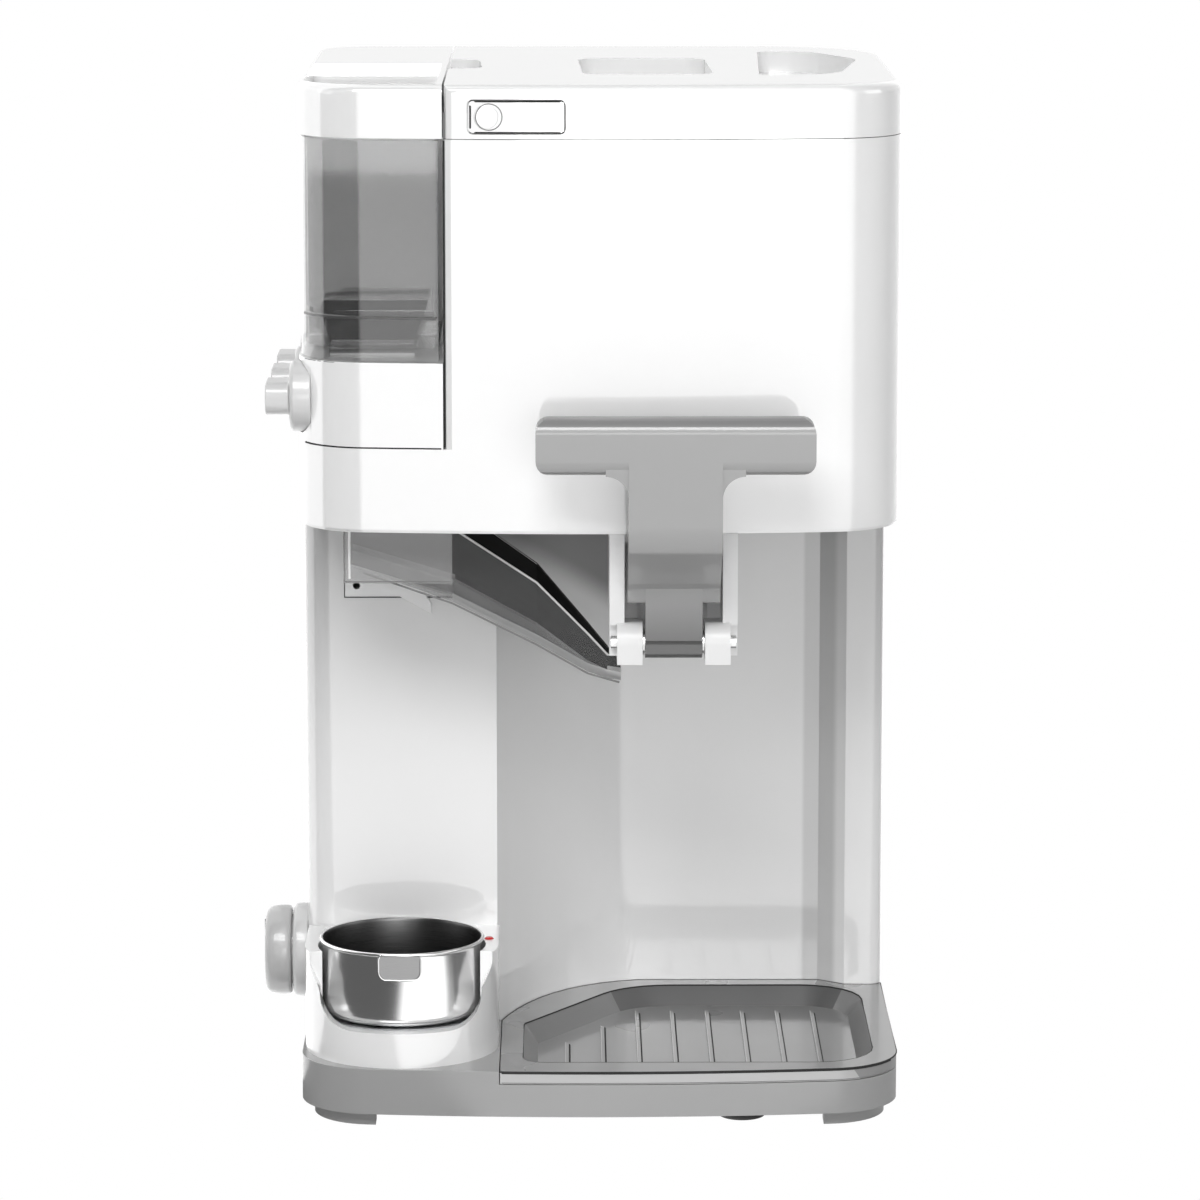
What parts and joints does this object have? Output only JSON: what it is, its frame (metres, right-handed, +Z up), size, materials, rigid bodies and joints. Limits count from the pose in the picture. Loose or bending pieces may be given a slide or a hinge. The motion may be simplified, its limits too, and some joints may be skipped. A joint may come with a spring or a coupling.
{
  "type": "ice cream maker",
  "caption": "Counter-top soft-serve ice cream maker with a freezer bowl and paddle, a lever-worked spout, mix-in dispensers with a chute, a topping warmer and a drip tray.",
  "frame": {"origin": "on the table below the middle of the whole machine", "axes": "+X to the right as seen from the front, +Y to the back, +Z up"},
  "size_m": [0.2636, 0.265, 0.425],
  "materials": {
    "white_gloss": "glossy moulded",
    "white_satin": "satin moulded",
    "grey_satin": "fine satin",
    "light_grey": "fine satin",
    "dark_plastic": "matt",
    "black_rubber": "matt",
    "steel": "bright",
    "cup_steel": "brushed",
    "clear_plastic": "clear",
    "smoked_plastic": "smoked clear",
    "tray_plastic": "smoked clear",
    "aluminium": "plain",
    "coolant": "gel",
    "nylon": "matt",
    "motor_metal": "satin",
    "red_lens": "clear red",
    "board": "matt"
  },
  "bodies": {
    "machine": {"base_housing": "grey_satin", "base_plate": "dark_plastic", "rubber_feet": "black_rubber", "base_screws": "steel", "column_shell": "white_gloss", "column_back": "white_gloss", "cord_plate": "white_gloss", "upper_housing": "white_gloss", "rear_cover": "white_satin", "rear_screws": "steel", "cord_gland": "black_rubber", "bowl_well": "white_satin", "lid_hinge_pins": "steel", "dispenser_block": "white_gloss", "mixin_funnel": "white_satin", "chute_bracket": "white_satin", "idler_axle": "steel", "drive_motor": "motor_metal", "motor_bracket": "steel", "spout_block": "white_satin", "lever_pin": "steel", "lever_spring": "steel", "cup_station": "white_gloss", "hot_plate": "aluminium", "warmer_lamp": "red_lens", "knob_ring": "light_grey", "rotary_switch": "dark_plastic", "control_board": "board"},
    "main_lid": {"main_lid": "white_gloss"},
    "lid_latch": {"lid_latch": "white_gloss"},
    "dispenser_lid": {"dispenser_lid": "white_gloss"},
    "container_1": {"container_1": "clear_plastic", "hopper_1": "smoked_plastic"},
    "container_2": {"container_2": "clear_plastic", "hopper_2": "smoked_plastic"},
    "container_3": {"container_3": "clear_plastic", "hopper_3": "smoked_plastic"},
    "dial_1": {"dial_1": "light_grey", "rotor_1": "light_grey"},
    "dial_2": {"dial_2": "light_grey", "rotor_2": "light_grey"},
    "dial_3": {"dial_3": "light_grey", "rotor_3": "light_grey"},
    "mixin_chute": {"mixin_chute": "clear_plastic"},
    "freezer_bowl": {"bowl_shell": "aluminium", "bowl_liner": "aluminium", "coolant": "coolant", "bowl_rim": "white_satin", "outlet_seal": "black_rubber"},
    "mixing_paddle": {"mixing_paddle": "white_satin", "paddle_scrapers": "nylon"},
    "bowl_drive": {"bowl_gear": "nylon", "drive_shaft": "steel"},
    "idler_gear": {"idler_gear": "nylon"},
    "motor_pinion": {"motor_pinion": "steel"},
    "plunger": {"plunger": "white_satin", "plunger_seals": "black_rubber"},
    "dispense_lever": {"dispense_lever": "grey_satin"},
    "warming_cup": {"warming_cup": "cup_steel"},
    "warmer_knob": {"warmer_knob": "grey_satin"},
    "drip_tray": {"drip_tray": "tray_plastic"}
  },
  "joints": [
    {"name": "main_lid_hinge", "type": "hinge", "parent": "machine", "child": "main_lid", "pos_m": [0.03875, 0.1245, 0.4117], "axis": [-1, 0, 0], "range_deg": [0, 88]},
    {"name": "latch_press", "type": "slide", "parent": "main_lid", "child": "lid_latch", "axis": [0, 1, 0], "range_m": [0, 0.0025], "stiffness_N_per_m": 400, "springref_m": -0.002},
    {"name": "dispenser_lid_hinge", "type": "hinge", "parent": "machine", "child": "dispenser_lid", "pos_m": [-0.08225, 0.1245, 0.4117], "axis": [-1, 0, 0], "range_deg": [0, 88]},
    {"name": "container_1_draw", "type": "slide", "parent": "machine", "child": "container_1", "axis": [-1, 0, 0], "range_m": [0, 0.06]},
    {"name": "container_2_draw", "type": "slide", "parent": "machine", "child": "container_2", "axis": [-1, 0, 0], "range_m": [0, 0.06]},
    {"name": "container_3_draw", "type": "slide", "parent": "machine", "child": "container_3", "axis": [-1, 0, 0], "range_m": [0, 0.06]},
    {"name": "dial_1_turn", "type": "hinge", "parent": "machine", "child": "dial_1", "pos_m": [-0.11175, -0.0655, 0.298], "axis": [1, 0, 0], "continuous": true},
    {"name": "dial_2_turn", "type": "hinge", "parent": "machine", "child": "dial_2", "pos_m": [-0.11175, -0.0195, 0.298], "axis": [1, 0, 0], "continuous": true},
    {"name": "dial_3_turn", "type": "hinge", "parent": "machine", "child": "dial_3", "pos_m": [-0.11175, 0.0265, 0.298], "axis": [1, 0, 0], "continuous": true},
    {"name": "chute_draw", "type": "slide", "parent": "machine", "child": "mixin_chute", "axis": [0, -1, 0], "range_m": [0, 0.05]},
    {"name": "bowl_lift", "type": "slide", "parent": "machine", "child": "freezer_bowl", "axis": [0, 0, 1], "range_m": [0, 0.02]},
    {"name": "pinion_spin", "type": "hinge", "parent": "machine", "child": "motor_pinion", "pos_m": [0.03875, 0.0965, 0.25], "axis": [0, 0, 1], "continuous": true},
    {"name": "idler_spin", "type": "hinge", "parent": "machine", "child": "idler_gear", "pos_m": [0.03875, 0.0605, 0.25], "axis": [0, 0, 1], "continuous": true},
    {"name": "shaft_spin", "type": "hinge", "parent": "machine", "child": "bowl_drive", "pos_m": [0.03875, 0.0125, 0.25], "axis": [0, 0, 1], "continuous": true},
    {"name": "paddle_spin", "type": "hinge", "parent": "freezer_bowl", "child": "mixing_paddle", "pos_m": [0.03875, 0.0125, 0.274], "axis": [0, 0, 1], "continuous": true},
    {"name": "lever_pull", "type": "hinge", "parent": "machine", "child": "dispense_lever", "pos_m": [0.03875, -0.0925, 0.202], "axis": [1, 0, 0], "range_deg": [0, 50], "stiffness_Nm_per_rad": 0.15, "springref_deg": -57.3},
    {"name": "plunger_rise", "type": "slide", "parent": "machine", "child": "plunger", "axis": [0, 0, 1], "range_m": [0, 0.0165]},
    {"name": "cup_lift", "type": "slide", "parent": "machine", "child": "warming_cup", "axis": [0, 0, 1], "range_m": [0, 0.06]},
    {"name": "knob_turn", "type": "hinge", "parent": "machine", "child": "warmer_knob", "pos_m": [-0.11325, 0.0085, 0.0515], "axis": [-1, 0, 0], "range_deg": [0, 90]},
    {"name": "tray_lift", "type": "slide", "parent": "machine", "child": "drip_tray", "axis": [0, 0, 1], "range_m": [0, 0.08]}
  ],
  "couplings": [
    {"joint": "idler_spin", "follows": "pinion_spin", "ratio": -0.5},
    {"joint": "shaft_spin", "follows": "pinion_spin", "ratio": 0.5},
    {"joint": "paddle_spin", "follows": "pinion_spin", "ratio": 0.5},
    {"joint": "plunger_rise", "follows": "lever_pull", "m_per_rad": 0.018907}
  ]
}
